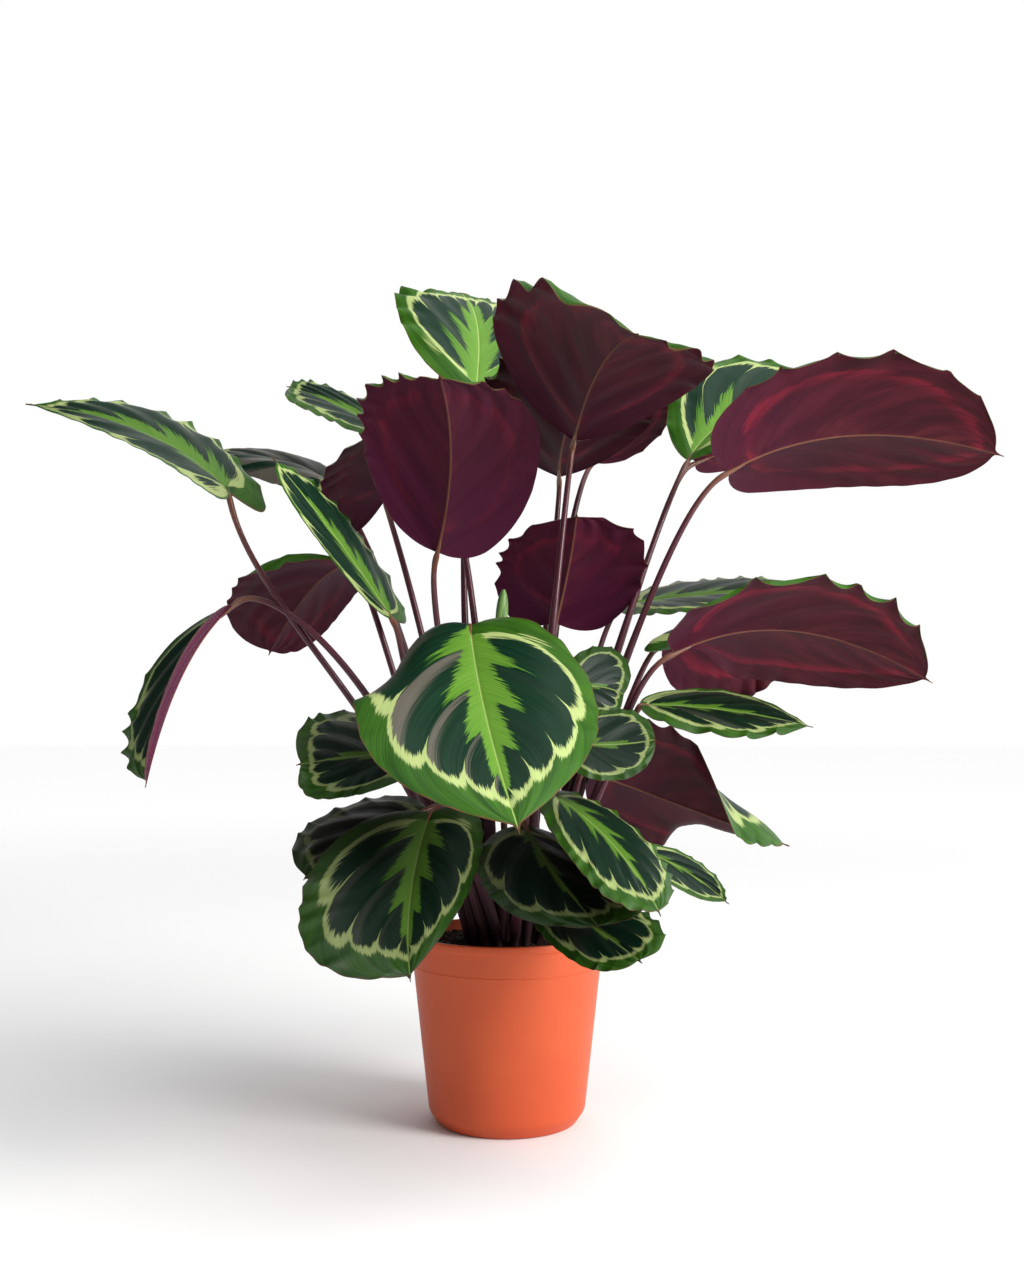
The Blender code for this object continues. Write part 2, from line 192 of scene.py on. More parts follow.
def addLights(look):
    for name in ("key", "fill"):
        place, size, power, colour = look[name]
        turn = (Vector(look["aim"]) - Vector(place)).to_track_quat("-Z", "Y")
        addLamp(name, "AREA", turn, size=size, energy=power, color=colour).location = place
    towards, strength, spread = look["overhead"]
    turn = Vector(towards).to_track_quat("Z", "Y")
    addLamp("overhead", "SUN", turn, energy=strength, angle=math.radians(spread))
    room = Paint("studio", bpy.data.worlds, "Background")
    at = room.node("ShaderNodeTexCoord")
    dot = {"operation": "DOT_PRODUCT"}
    towards = room.node("ShaderNodeVectorMath", dot, {0: at, 1: look["roomTowards"]}, 1)
    low, high = look["roomBlend"]
    back = room.node("ShaderNodeMapRange", {}, {"Value": towards, "From Min": low, "From Max": high})
    colour = room.mix(back, look["roomFront"], look["roomBack"])
    seen = room.node("ShaderNodeLightPath")     # its first output is 1 for what the picture shows
    bpy.context.scene.world = room.finish(Color=room.mix(seen, colour, look["backdrop"]))
    bpy.context.scene.view_settings.view_transform = "Standard"


def addFloor(look):
    shape = bmesh.new()
    bmesh.ops.create_grid(shape, x_segments=2, y_segments=2, size=look["floorHalf"])
    floor = addMesh("floor", shape)
    floor.location.z = -look["floorDrop"]
    paint = Paint("studio floor")
    dim = tuple(c * look["floorDim"] for c in look["floor"])
    colour = paint.mix(paint.grain(1.4, 2), look["floor"], dim)
    x, y, _ = paint.parts(paint.place())
    near, far, glow = look["floorGlow"]
    # Painted light: the floor glows, more the further out it lies.
    glow = paint.grey(glow * ((x * x + y * y) ** 0.5).step(near, far))
    floor.data.materials.append(
        paint.finish(Base_Color=colour, Roughness=0.9, Emission_Color=glow, Emission_Strength=1)
    )


def addMesh(name, shape):
    mesh = bpy.data.meshes.new(name)
    shape.to_mesh(mesh)
    shape.free()
    return addObject(name, mesh)


def soften(mesh, degrees):
    mesh.shade_smooth()
    mesh.set_sharp_from_angle(angle=math.radians(degrees))


def addPiece(name, points, faces, materials, replaced, choice=None, fields=None):
    # One visible piece: its mesh, its materials and the node that it stands for.
    mesh = bpy.data.meshes.new(name)
    mesh.from_pydata([tuple(p) for p in points], [], faces)
    for key, values in (fields or {}).items():
        layer = mesh.attributes.new(key, "FLOAT_VECTOR", "POINT")
        layer.data.foreach_set("vector", np.asarray(values, np.float32).reshape(-1))
    for material in materials:
        mesh.materials.append(material)
    if choice is not None:
        mesh.polygons.foreach_set("material_index", choice)
    soften(mesh, 50)
    made = addObject(name, mesh)
    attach(made, "root")
    if replaced:
        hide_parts(*replaced)


# Each leaf, in millimetres: blade base, a point half way up its midrib, its tip, the right and left
# edge where it is widest, the stalk's foot, the point that the stalk bends towards, and how far it
# runs straight into the blade.
leaves = {
    "far_left": (
        (-238, -45, 541), (-312, -30, 595), (-425, -15, 625), (-290, 20, 615), (-285, -90, 555),
        (-33, 0), (-75, -40, 340), 50),
    "left_back": (
        (-160, 75, 565), (-215, 110, 595), (-300, 145, 610), (-215, 155, 610), (-210, 50, 571),
        (-25, 21), (-105, 75, 480), 30),
    "left_narrow": (
        (-100, -20, 435), (-135, -95, 490), (-180, -170, 550), (-125, -40, 505), (-145, -115, 480),
        (-21, -6), (-95, -15, 375), 25),
    "left_hanging": (
        (-145, 45, 490), (-190, 105, 470), (-240, 165, 410), (-165, 160, 455), (-250, 55, 475),
        (-31, 11), (-100, 20, 380), 20),
    "left_arching": (
        (-235, -45, 445), (-270, -75, 385), (-297, -85, 292), (-320, -40, 360), (-274, -122, 367),
        (-31, -11), (-80, -100, 385), 40),
    "centre_left": (
        (-60, -45, 490), (-45, -125, 555), (-50, -210, 605), (-115, -155, 575), (25, -55, 555),
        (-16, -16), (-60, -20, 415), 35),
    "top_green": (
        (-30, 60, 650), (-30, 125, 735), (-50, 185, 785), (45, 155, 725), (-110, 125, 755),
        (-6, 10), (-60, 45, 455), 40),
    "top_front": (
        (60, 0, 595), (76, -110, 633), (99, -207, 636), (-11, -100, 684), (150, -140, 611),
        (11, 0), (45, -75, 485), 25),
    "top_behind": (
        (50, 105, 580), (55, 30, 615), (80, -50, 665), (-25, 55, 650), (135, 70, 625),
        (6, 21), (40, 60, 465), 35),
    "right_green": (
        (170, 70, 590), (225, 105, 645), (315, 140, 685), (240, 45, 610), (164, 140, 685),
        (21, 6), (110, 35, 455), 30),
    "right_behind": (
        (190, 165, 605), (260, 185, 630), (360, 205, 655), (235, 130, 650), (275, 215, 615),
        (16, 16), (125, 95, 460), 30),
    "right_upper": (
        (195, -15, 565), (310, 0, 600), (450, 20, 585), (285, -60, 660), (320, 70, 565),
        (21, -6), (115, -10, 445), 40),
    "right_lower": (
        (145, -30, 405), (260, 5, 425), (390, 45, 380), (255, -65, 470), (238, 60, 383),
        (33, 0), (100, -30, 345), 35),
    "right_curled": (
        (140, 25, 414), (215, 55, 440), (310, 85, 455), (190, -10, 455), (209, 97, 360),
        (31, 11), (100, 10, 335), 20),
    "right_far": (
        (120, 145, 460), (205, 145, 470), (320, 150, 475), (190, 95, 450), (205, 200, 490),
        (25, 21), (75, 80, 375), 20),
    "centre_right": (
        (45, 55, 435), (56, 24, 485), (62, -2, 530), (-10, 60, 490), (125, 25, 480),
        (6, 10), (35, 30, 365), 25),
    "front_main": (
        (-30, -95, 425), (-15, -180, 350), (10, -265, 270), (-112, -205, 356), (70, -120, 370),
        (-6, -10), (-30, -30, 415), 28),
    "front_left_upper": (
        (-65, -80, 320), (-110, -140, 320), (-155, -200, 315), (-135, -85, 355), (-120, -175, 290),
        (-25, -21), (-55, -40, 280), 25),
    "front_left_lower": (
        (-60, -125, 275), (-70, -200, 220), (-65, -270, 170), (-145, -245, 220), (-20, -135, 240),
        (-6, -32), (-40, -60, 280), 25),
    "right_folded": (
        (74, -20, 301), (160, 42, 268), (270, 110, 225), (141, -32, 340), (138, 80, 229),
        (31, -11), (65, -20, 235), 25),
    "right_slim": (
        (112, -70, 360), (190, -25, 355), (275, 20, 340), (170, -85, 335), (185, 15, 372),
        (16, -16), (85, -45, 285), 30),
    "front_right_upper": (
        (35, -110, 290), (80, -175, 255), (110, -240, 210), (50, -220, 245), (110, -110, 255),
        (16, -29), (32, -62, 290), 25),
    "left_top": (
        (-75, 55, 595), (-150, 80, 640), (-215, 110, 670), (-160, 115, 665), (-160, 35, 620),
        (-11, 0), (-20, 10, 455), 30),
    "left_shadow": (
        (-110, 20, 545), (-105, -45, 570), (-90, -110, 590), (-165, -5, 545), (-45, 12, 538),
        (-21, 6), (-70, 5, 435), 25),
    "top_hidden": (
        (85, 140, 600), (115, 180, 645), (150, 220, 705), (70, 140, 665), (160, 165, 640),
        (16, 29), (50, 100, 540), 20),
    "front_left_shadow": (
        (-65, -95, 275), (-115, -145, 255), (-150, -195, 230), (-140, -95, 275), (-90, -165, 200),
        (-16, -29), (-45, -50, 260), 20),
    "inner_right_upper": (
        (45, -75, 375), (78, -58, 375), (100, -45, 368), (80, -72, 352), (85, -40, 410),
        (6, -10), (20, -45, 315), 20),
    "inner_right_lower": (
        (45, -130, 330), (85, -120, 328), (120, -115, 332), (80, -138, 300), (86, -102, 356),
        (6, -21), (5, -50, 300), 20),
    "right_tip": (
        (110, -75, 240), (150, -45, 220), (192, -20, 188), (143, -68, 207), (163, -37, 227),
        (25, -21), (70, -60, 230), 20),
    "front_centre": (
        (15, -90, 262), (35, -148, 232), (70, -205, 195), (-20, -100, 215), (95, -145, 222),
        (-6, -21), (0, -55, 245), 20),
    "front_right_lower": (
        (25, -100, 210), (65, -150, 190), (100, -200, 170), (40, -180, 175), (105, -125, 200),
        (6, -32), (10, -70, 200), 15),
}

# Leaves whose blade and stalk are one node, and the small ones, with fewer waves and veins.
joined = [
    "front_left_shadow", "inner_right_upper", "inner_right_lower", "right_tip",
    "front_centre", "front_right_lower",
]
small = joined + ["front_left_upper", "centre_right", "top_hidden", "left_shadow", "left_back"]
smallShape = {"waves": 7, "cells": 4}

# Blade shape: counts, shares of the length or half width, and millimetres where it says so.
bladeShape = {
    "rows": 96,
    "columns": 22,              # on each side of the midrib
    "columnCrowding": 1.35,     # above 1 packs them towards the midrib
    "rowCrowding": 0.6,         # share of the rows' spacing that tightens towards both ends
    "widestAt": 0.42,
    "peak": 0.44,
    "baseRounding": 2.4,
    "basePower": 0.5,
    "bodyEnd": 0.965,           # where the body would close; the thin tip runs on
    "bodyRounding": 2.5,
    "bodyFullness": 0.7,
    "dripWide": 0.12,
    "dripLong": 0.11,
    "tipHalfMm": 0.4,
    "waves": 9,
    "waveHeight": 0.06,
    "waveRounding": 0.8,
    "waveReach": 4.5,           # how closely the waves keep to the edge
    "waveDrift": (0.2, 0.09),   # how far they wander from even places, slowly and quickly
    "waveVary": 0.25,           # how unlike their heights are
    "waveStart": 0.2,           # stretch over which they grow
    "tipRise": (0.7, 0.15),     # where the higher waves by the tip start, and over what stretch they grow
    "scallop": 0.055,
    "evenWaves": 0,             # 1 spaces the waves along the edge itself, round to the tip
    "rippleHeight": 0.01,
    "rippleTurns": 2.6,
    "bulge": 0.06,
    "lobe": 0.085,
    "leftLobe": 1,              # share of that lobe on the left half
    "leftFoot": 1,              # share of the width that the left half has at the base
    "footLong": 0.3,            # stretch over which it widens
    "rollEase": 0.22,           # stretch over which a rolled margin starts and ends
    "thickMm": 0.45,
    "ribMm": 1.2,
    "ribHalfMm": 1.1,
    "grooveMm": 0.5,
    "pleatMm": 0.75,
    "finePleatMm": 0.12,
    "cells": 5,                 # main side veins on each half
    "veinSweep": 0.66,
    # height of the waves on the right and the left edge, how far up they start, and how much
    # higher the left ones grow near the tip
    "edge": (0.45, 0.45, 0.1, 0),
    # margins that roll over: side (1 right, -1 left), share of the half width where the roll
    # starts, degrees (above 0 towards the upper side), the stretch that it covers, and how much
    # of the leaf's pattern is out of sight at that edge
    "rolls": [],
    # right margin that curls over in the hollows of its waves: share of the half width, degrees
    "hollows": (0.95, 0),
    # upper side: brightness, a painted light and shade for the whole leaf (darker deep in the
    # plant, brighter where it is lit), how silvery its right and left halves are (the leaf's own
    # silver with a painted sheen), the feather's half width
    "upper": (1, 0.3, 0.3, 0.4),
    # underside: brightness, a painted light and shade for the whole leaf, how much of the rose
    # ring shows, and how purple it is
    "under": (1, 1, 0),
}

# What sets a leaf apart from that.
ownShapes = {
    "far_left": {"bulge": 0.09, "bodyFullness": 0.95, "tipHalfMm": 1.6, "lobe": 0.24, "leftLobe": 0,
        "edge": (0.7, 0.1, 0, 0), "rolls": [(-1, 0.65, 25, -0.3, 1.2, 0.1)],
        "upper": (0.85, 0.1, 0.1, 0.6)},
    "left_back": {"lobe": 0.25, "bulge": 0.1, "edge": (0.4, 0.25, 0.1, 0),
        "rolls": [(-1, 0.6, -50, 0.1, 1.3, 0.4)], "upper": (0.95, 1.6, 1.6, 0.12)},
    "left_narrow": {"lobe": 0.24, "leftLobe": 0, "edge": (0.55, 0.1, 0, 0),
        "rolls": [(-1, 0.75, 25, -0.3, 1.2, 0.08)], "upper": (0.85, 0.1, 0.1, 0.5)},
    "left_hanging": {"bulge": 0.09, "edge": (0.25, 0.25, 0.1, 0), "rolls": [(-1, 0.8, -150, -0.2, 0.4, 0)],
        "under": (0.8, 0.5, 0.4)},
    "left_arching": {"bulge": 0.02, "bodyFullness": 0.9, "lobe": 0.02, "waves": 7,
        "edge": (0.5, 0.05, 0.3, 0), "upper": (0.6, 0.4, 0.2, 0.36), "under": (1.6, 0.3, 1)},
    "centre_left": {"pleatMm": 1.4, "waves": 13, "scallop": 0.06, "waveHeight": 0.035, "evenWaves": 1,
        "edge": (0.45, 0.1, 0.42, 0.35), "hollows": (0.95, -150), "under": (0.85, 0.45, 0.6)},
    "top_green": {"bodyFullness": 1, "waves": 8, "evenWaves": 1, "waveRounding": 2, "waveHeight": 0.09,
        "scallop": 0.04, "edge": (0.4, 0.45, 0.3, 0), "upper": (1.1, 0.2, 0.2, 0.58)},
    "top_front": {"bodyFullness": 0.42, "pleatMm": 1.1, "scallop": 0.03, "waveHeight": 0.07,
        "waveRounding": 2.2, "baseRounding": 1.7, "lobe": 0.03, "evenWaves": 1, "waves": 8,
        "edge": (0.55, 0.3, 0.42, 0.2), "hollows": (0.95, -150), "under": (0.95, 0.8, 0.1)},
    "top_behind": {"baseRounding": 1.4, "lobe": 0.02, "edge": (0.6, 0.2, 0.3, 0), "hollows": (0.93, -150),
        "under": (0.65, 0.9, 0)},
    "right_green": {"baseRounding": 1.05, "basePower": 0.75, "lobe": 0, "edge": (0.3, 0.4, 0.1, 0),
        "upper": (1.15, 0.1, 0.1, 0.6)},
    "right_behind": {"edge": (0.3, 0.3, 0.1, 0)},
    "right_upper": {"bodyFullness": 0.62, "waves": 7, "edge": (0.32, 0.08, 0.2, 0),
        "hollows": (0.95, -140)},
    "right_lower": {"waves": 7, "scallop": 0.08, "leftFoot": 0.05, "leftLobe": 0,
        "edge": (0.6, 0.12, 0.1, 0), "hollows": (0.93, -150)},
    "right_curled": {"lobe": 0.8, "leftLobe": 0.08, "baseRounding": 1.5, "bulge": 0.1,
        "rolls": [(1, 0.3, -175, -0.4, 0.5, 0)]},
    "right_far": {"upper": (0.7, 0.3, 0.3, 0.42)},
    "centre_right": {"pleatMm": 1.5, "lobe": 0.2, "scallop": 0.1, "edge": (0.5, 0.3, 0.3, 0.3),
        "hollows": (0.94, -120), "under": (1.25, 0.45, 0.6)},
    "front_main": {"bulge": 0.09, "bodyFullness": 0.95, "baseRounding": 2, "waves": 7, "lobe": 0.14,
        "edge": (0.1, 0.12, 0.1, 0), "rolls": [(1, 0.42, -112, -0.3, 0.42, 0.34)],
        "upper": (1, 1, 0.15, 0.5)},
    "front_left_upper": {"edge": (0.4, 0.4, 0.1, 0), "upper": (0.5, 0, 0, 0.28)},
    "front_left_lower": {"bulge": 0.09, "bodyFullness": 0.85, "edge": (0.3, 0.22, 0.2, 0),
        "upper": (0.35, 0.3, 0.1, 0.44)},
    "right_folded": {"lobe": 0.03, "bodyFullness": 0.8, "pleatMm": 0.4,
        "rolls": [(1, 0.25, -185, 0.5, 1.3, 0), (-1, 0.15, 175, 0.44, 1.3, 0)],
        "upper": (0.85, 0.1, 0.1, 0.3), "under": (0.75, 0.8, 0)},
    "right_slim": {"lobe": 0.03, "bodyFullness": 1, "baseRounding": 1.3, "waves": 5, "dripLong": 0.2,
        "edge": (0.9, 0.12, 0.1, 0), "rolls": [(-1, 0.8, 30, -0.3, 1.2, 0.1)],
        "upper": (0.62, 0.3, 0.3, 0.3)},
    "front_right_upper": {"bodyFullness": 0.8, "edge": (0.4, 0.5, 0, 0), "upper": (0.72, 0, 0.1, 0.42)},
    "left_top": {"upper": (0.85, 0.2, 0.2, 0.5)},
    "left_shadow": {"lobe": 0.3, "baseRounding": 3.5, "upper": (0.8, 0.3, 0.3, 0.38),
        "under": (0.8, 0.7, 0.3)},
    "front_left_shadow": {"upper": (0.32, 1.2, 1, 0.24)},
    "inner_right_upper": {"cells": 3, "waves": 5, "bodyEnd": 0.985, "edge": (0.3, 0.3, 0.1, 0),
        "upper": (0.5, 0, 0, 0.22)},
    "inner_right_lower": {"cells": 3, "waves": 5, "bodyEnd": 0.985, "edge": (0.35, 0.35, 0.1, 0),
        "upper": (0.55, 0.1, 0.1, 0.25)},
    "right_tip": {"bodyFullness": 1, "dripLong": 0.2, "edge": (0.3, 0.5, 0.1, 0),
        "upper": (0.62, 0.1, 0.1, 0.28)},
    "front_centre": {"upper": (0.34, 0, 0, 0.18)},
    "front_right_lower": {"upper": (0.55, 0.3, 0.1, 0.28)},
}


def unit(vector):
    return vector / np.linalg.norm(vector, axis=-1, keepdims=True)


def relax(values):      # evens out neighbours, and keeps both ends
    for _ in range(2):
        values[1:-1] = (values[:-2] + 2 * values[1:-1] + values[2:]) / 4
    return values


def smooth(value):      # 0 below 0, 1 above 1
    value = np.clip(value, 0, 1)
    return value * value * (3 - 2 * value)


class Midrib:
    # The curve that a blade is laid along, with its directions.
    def __init__(self, name):
        base, middle, tip, right, left = (np.array(p, float) for p in leaves[name][:5])
        turn = 2 * middle - (base + tip) / 2
        steps = np.linspace(0, 1, 101)[:, None]
        self.curve = (1 - steps) ** 2 * base + 2 * steps * (1 - steps) * turn + steps ** 2 * tip
        pieces = np.linalg.norm(np.diff(self.curve, axis=0), axis=1)
        self.arc = np.concatenate([[0], np.cumsum(pieces)])
        self.length = self.arc[-1]
        self.across = unit(right - left)
        centre, along, side, up = self.frame(np.array([bladeShape["widestAt"]]))
        self.reach = {}
        for sign, edge in ((1, right), (-1, left)):
            away = edge - centre[0]
            self.reach[sign] = np.array([away @ along[0], away @ side[0], away @ up[0]])

    def at(self, distance):
        distance = np.clip(distance, 0, self.length)
        return np.stack([np.interp(distance, self.arc, self.curve[:, k]) for k in range(3)], -1)

    def frame(self, places):
        distance = places * self.length
        step = 0.02 * self.length
        along = unit(self.at(distance + step) - self.at(distance - step))
        side = unit(self.across - (along @ self.across)[:, None] * along)
        return self.at(distance), along, side, np.cross(side, along)


def outline(places, shape):
    # Half width along the blade, as a share of the widest: rounded base, full body, thin tip.
    below = np.clip((shape["peak"] - places) / shape["peak"], 0, 1)
    above = np.clip((places - shape["peak"]) / (shape["bodyEnd"] - shape["peak"]), 0, 1)
    base = (1 - below ** shape["baseRounding"]) ** shape["basePower"]
    body = (1 - above ** shape["bodyRounding"]) ** shape["bodyFullness"]
    drip = shape["dripWide"] * np.clip((1 - places) / shape["dripLong"], 0, 1) ** 1.3
    return np.where(places < shape["peak"], base, (body ** 4 + drip ** 4) ** 0.25)


def edgeDistance(across, length, half, places, shape):
    # Distance from each point of the flattened blade to its outline, as a share of the half width.
    border = (1 - np.cos(np.linspace(0, math.pi, 201))) / 2
    edge = np.stack([border * length, outline(border, shape) * half], -1)
    wide = outline(places, shape)[:, None] * half * np.abs(across)
    points = np.stack([np.broadcast_to((places * length)[:, None], wide.shape), wide], -1)
    away = np.linalg.norm(points[:, :, None, :] - edge[None, None], axis=-1)
    return away.min(-1) / half


def edgeWave(place, share, right, shape, seed):
    # Pointed crests with round hollows between them, no two alike, that die out inside the edge.
    waves = shape["waves"]
    slow, quick = shape["waveDrift"]
    drift = slow * np.sin(math.tau * (1.7 * place + 0.37 * seed + 0.5 * right))
    drift = drift + quick * np.sin(math.tau * (4.1 * place + 0.73 * seed))
    swing = np.abs(np.sin(math.pi * (waves * place + drift + 0.5 * ~right)))
    heightRight, heightLeft, start, tipHeight = shape["edge"]
    tipStart, tipLong = shape["tipRise"]
    heightLeft = heightLeft + tipHeight * np.clip((place - tipStart) / tipLong, 0, 1)
    height = np.where(right, heightRight, heightLeft)
    vary = 1 + shape["waveVary"] * np.sin(math.tau * (2.3 * place + 0.61 * seed + 0.3 * right))
    begin = np.clip((place - start) / shape["waveStart"] + 0.5, 0.08, 1)
    ends = np.minimum(1, (1 - place) * 10) * begin * np.minimum(1, place * 12)
    wave = (1 - 2 * swing ** shape["waveRounding"]) * height * vary * ends
    ripple = np.sin(math.pi * waves * shape["rippleTurns"] * place + seed + 2 * right) * ends
    ripple = ripple * (0.4 + 0.6 * height) * share ** 6
    return wave * share ** shape["waveReach"], ripple, swing ** 0.5 * ends


def rollOver(out, rise, start, turn):
    # How far out and how far up points come to lie where the margin past start turns over.
    over = np.maximum(out - start, 0)
    bend = np.maximum(np.abs(turn), 1e-4)
    radius = (1 - start) / bend
    past = out > start
    lie = np.where(past, start + radius * np.sin(over / radius), out)
    return lie, rise + np.where(past, radius * (1 - np.cos(over / radius)), 0) * np.sign(turn)


def rollMargins(share, place, right, hollow, shape):
    out, rise, hidden = share, np.zeros_like(share), np.zeros_like(share)
    for sign, start, degrees, low, high, lost in shape["rolls"]:
        ends = np.minimum(place - low, high - place) / shape["rollEase"]
        ends = smooth(ends) * (right == (sign > 0))
        out, rise = rollOver(out, rise, start, math.radians(degrees) * ends)
        hidden = hidden + lost * ends
    start, degrees = shape["hollows"]
    if degrees:
        out, rise = rollOver(out, rise, start, math.radians(degrees) * hollow * right)
    return out, rise, hidden


def bladePoints(name, seed):
    # Upper and lower points of the blade, and the fields that its paint reads.
    rib = Midrib(name)
    shape = {**bladeShape, **(smallShape if name in small else {}), **ownShapes.get(name, {})}
    count = shape["columns"]
    half = (np.arange(1, count + 1) / count) ** shape["columnCrowding"]
    across = np.concatenate([-half[::-1], [0], half])[None, :]
    even = np.linspace(0, 1, shape["rows"] + 1)
    places = even + shape["rowCrowding"] * ((1 - np.cos(math.pi * even)) / 2 - even)
    centre, along, side, up = (v[:, None, :] for v in rib.frame(places))
    place = places[:, None]
    share = np.abs(across)
    right = across >= 0
    reach = np.where(right[..., None], rib.reach[1], rib.reach[-1])
    halves = [np.linalg.norm(rib.reach[sign]) for sign in (1, -1)]
    size = np.where(right, *halves)
    narrow = (1 - shape["leftFoot"]) * ~right * (1 - smooth(place / shape["footLong"]))
    width = np.maximum(outline(places, shape)[:, None] * (1 - narrow), shape["tipHalfMm"] / size)

    meanHalf = 0.5 * sum(halves)
    edge, even = outline(places, shape) * meanHalf, shape["evenWaves"]
    run = np.concatenate([[0], np.cumsum(np.hypot(np.diff(places * rib.length), np.diff(edge)))])
    around = place + even * (run[:, None] / run[-1] - place)
    slope = even * np.gradient(edge, places * rib.length)[:, None]
    wave, ripple, hollow = edgeWave(around, share, right, shape, seed)
    share = np.broadcast_to(share, wave.shape)
    share, rise, hidden = rollMargins(share, place, right, hollow, shape)
    out = share * width * (1 + shape["scallop"] * wave)
    sideways = reach[..., :1] * along + reach[..., 1:2] * side + reach[..., 2:] * up
    points = centre + out[..., None] * sideways
    back = shape["lobe"] * np.where(right, 1, shape["leftLobe"]) * rib.length * share ** 1.6
    back = back * (1 - place) ** 4 * np.minimum(1, width * 1.6)
    lift = 4 * shape["bulge"] * out * (1 - share) * size
    lift = lift + rise * width * size
    lift = lift + shape["waveHeight"] * size * wave + shape["rippleHeight"] * size * ripple
    back = back + shape["scallop"] * wave * size * slope / np.sqrt(1 + slope ** 2)
    points = points - back[..., None] * along + lift[..., None] * up

    # side veins leave the midrib and sweep towards the tip
    share = np.abs(across)
    vein = shape["cells"] * (place - shape["veinSweep"] * share ** 1.05 * (place + 0.08) ** 0.6)
    fade = np.minimum(1, (1 - place) * 6) * np.minimum(1, 0.2 + place * 5)
    belly = np.sin(math.pi * np.minimum(share, 0.999) ** 0.9) * fade
    pleat = belly * (
        shape["pleatMm"] * np.cos(math.tau * vein)
        + shape["finePleatMm"] * np.cos(math.tau * 4 * vein + seed)
    )
    far = share * width * size
    ribSize = np.exp(-(far / (shape["ribHalfMm"] * (1 - 0.5 * place))) ** 2) * (1 - 0.7 * place)
    normal = unit(np.cross(np.gradient(points, axis=1), np.gradient(points, axis=0)))
    upper = points + (pleat - shape["grooveMm"] * ribSize)[..., None] * normal
    thick = shape["thickMm"] + shape["ribMm"] * ribSize
    lower = points + (pleat - thick)[..., None] * normal
    rim = edgeDistance(across, rib.length, meanHalf, places, shape) + hidden
    paintedLightAndShade, silverAndSheenRight, silverAndSheenLeft, feather = shape["upper"]
    silverAndSheen = np.where(across > 0, silverAndSheenRight, silverAndSheenLeft)

    def field(*values):
        return np.stack(np.broadcast_arrays(*values, rim)[:-1], -1)

    # The upper and lower brightness of each leaf paints light and shade on the whole leaf.
    fields = {
        "leafPlace": field(place, across, rim), "leafPaintedLightAndFeather": field(paintedLightAndShade, feather, 0),
        "leafVein": field(vein + 100 * (seed + 1), far, silverAndSheen), "leafUnder": field(*shape["under"]),
    }
    return rib, upper, lower, fields


def sheetFaces(rows, columns):
    # Faces of a closed sheet: upper and lower side in turn, then the thin edge round it.
    def at(row, column, layer=0):
        return (layer * (rows + 1) + row) * (columns + 1) + column

    faces = []
    for row in range(rows):
        for column in range(columns):
            corners = [(row, column), (row, column + 1), (row + 1, column + 1), (row + 1, column)]
            faces.append([at(*corner) for corner in corners])
            faces.append([at(*corner, 1) for corner in corners[::-1]])
    border = [(0, c) for c in range(columns)] + [(r, columns) for r in range(rows)]
    border += [(rows, c) for c in range(columns, 0, -1)] + [(r, 0) for r in range(rows, 0, -1)]
    for here, after in zip(border, border[1:] + border[:1]):
        faces.append([at(*after), at(*here), at(*here, 1), at(*after, 1)])
    return faces, [0, 1] * (rows * columns) + [0] * len(border)


bladeFaces, bladeChoice = sheetFaces(bladeShape["rows"], 2 * bladeShape["columns"])


# Colours of the upper side, linear: margin, pale ring, dark centre, silver-grey (partly the
# leaf's own silver, partly painted sheen) and bright feather.
upperLook = {
    "margin": ((0.008, 0.046, 0.004), (0.052, 0.165, 0.009)),
    "ring": ((0.29, 0.4, 0.115), (0.52, 0.6, 0.25)),
    "centre": ((0.001, 0.01, 0.005), (0.005, 0.045, 0.018)),
    "silverAndSheen": (0.135, 0.125, 0.1),
    "feather": ((0.034, 0.135, 0.01), (0.132, 0.29, 0.03)),
    "midrib": (0.3, 0.42, 0.12),
    "midribBase": (0.2, 0.1, 0.05),
    "edge": (0.12, 0.055, 0.022),
    "ringAt": 0.225,
    "ringBulge": 0.09,
    "ringThin": 0.045,
    "ringThick": 0.08,
    "ringBase": 0.035,
    "spikeLong": 0.13,
    "roughness": 0.33,
    "shine": 0.18,
}


def leafFields(paint):
    # What both sides of a leaf share: place in the blade, and place in a side vein's cell.
    place, across, rim = paint.attribute("leafPlace")
    vein, far, silverAndSheen = paint.attribute("leafVein")
    lane = vein + across.above(0) * 50.37
    inCell = lane.fraction()
    return place, abs(across), rim, lane, inCell, abs(inCell - 0.5) * 2, far, silverAndSheen


